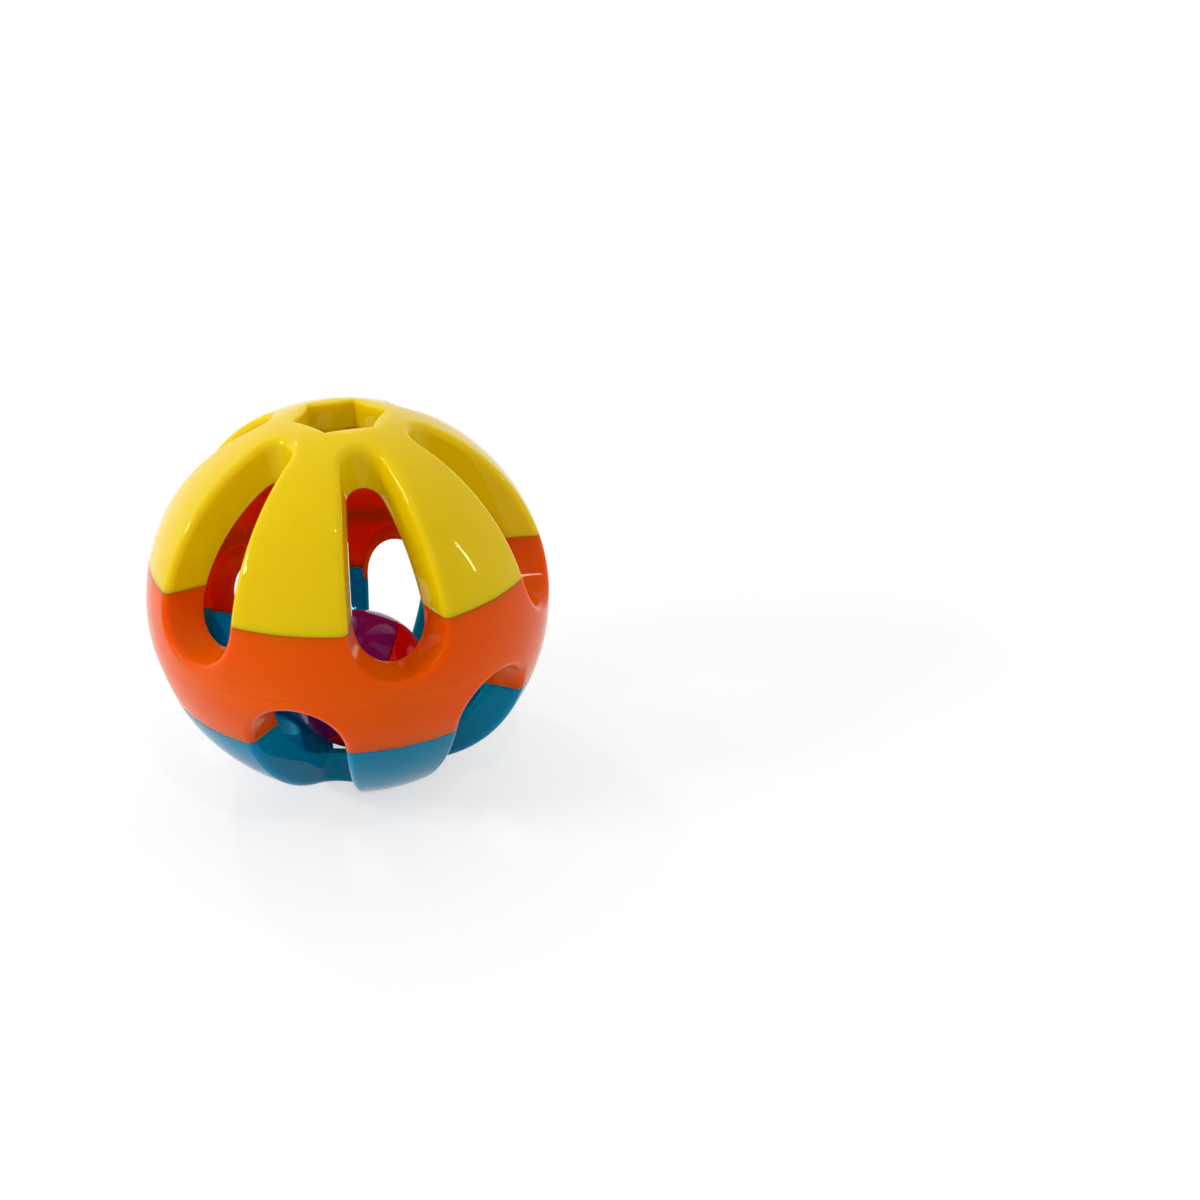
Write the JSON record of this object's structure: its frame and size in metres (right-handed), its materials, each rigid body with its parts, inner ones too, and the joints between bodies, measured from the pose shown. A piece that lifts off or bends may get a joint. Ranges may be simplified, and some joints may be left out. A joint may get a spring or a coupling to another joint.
{
  "type": "cat rattle ball",
  "caption": "Openwork ball of glossy coloured plastic with tapered slots and hexagonal pole holes, caging a loose rattle capsule in contrasting colours for a cat to bat about.",
  "frame": {"origin": "centre of the ball, where the pole axis meets the plane of the equator", "axes": "+Z through the poles towards the yellow dome, -Y towards the middle of one upper slot, +X towards the middle of one lower slot"},
  "size_m": [0.06, 0.06, 0.0582],
  "materials": {
    "yellow_plastic": "glossy moulded, slightly translucent",
    "orange_plastic": "glossy moulded, slightly translucent",
    "teal_plastic": "glossy moulded",
    "red_plastic": "glossy moulded",
    "purple_plastic": "glossy moulded",
    "ivory_plastic": "smooth moulded"
  },
  "bodies": {
    "cage": {"upper_dome": "yellow_plastic", "upper_band": "orange_plastic", "lower_band": "orange_plastic", "lower_dome": "teal_plastic"},
    "rattle": {"rattle_slotted_half": "red_plastic", "rattle_plain_half": "purple_plastic"},
    "pellet_1": {"rattle_pellet_1": "ivory_plastic"},
    "pellet_2": {"rattle_pellet_2": "ivory_plastic"},
    "pellet_3": {"rattle_pellet_3": "ivory_plastic"},
    "pellet_4": {"rattle_pellet_4": "ivory_plastic"},
    "pellet_5": {"rattle_pellet_5": "ivory_plastic"}
  },
  "joints": [
    {"name": "rattle_hop", "type": "slide", "parent": "cage", "child": "rattle", "axis": [0, 0, 1], "range_m": [0, 0.0303]},
    {"name": "pellet_1_roll", "type": "hinge", "parent": "rattle", "child": "pellet_1", "pos_m": [0, 0, -0.01519], "axis": [1, 0, 0], "continuous": true},
    {"name": "pellet_2_roll", "type": "hinge", "parent": "rattle", "child": "pellet_2", "pos_m": [0, 0, -0.01519], "axis": [1, 0, 0], "continuous": true},
    {"name": "pellet_3_roll", "type": "hinge", "parent": "rattle", "child": "pellet_3", "pos_m": [0, 0, -0.01519], "axis": [1, 0, 0], "continuous": true},
    {"name": "pellet_4_roll", "type": "hinge", "parent": "rattle", "child": "pellet_4", "pos_m": [0, 0, -0.01519], "axis": [1, 0, 0], "continuous": true},
    {"name": "pellet_5_roll", "type": "hinge", "parent": "rattle", "child": "pellet_5", "pos_m": [0, 0, -0.01519], "axis": [1, 0, 0], "continuous": true}
  ]
}
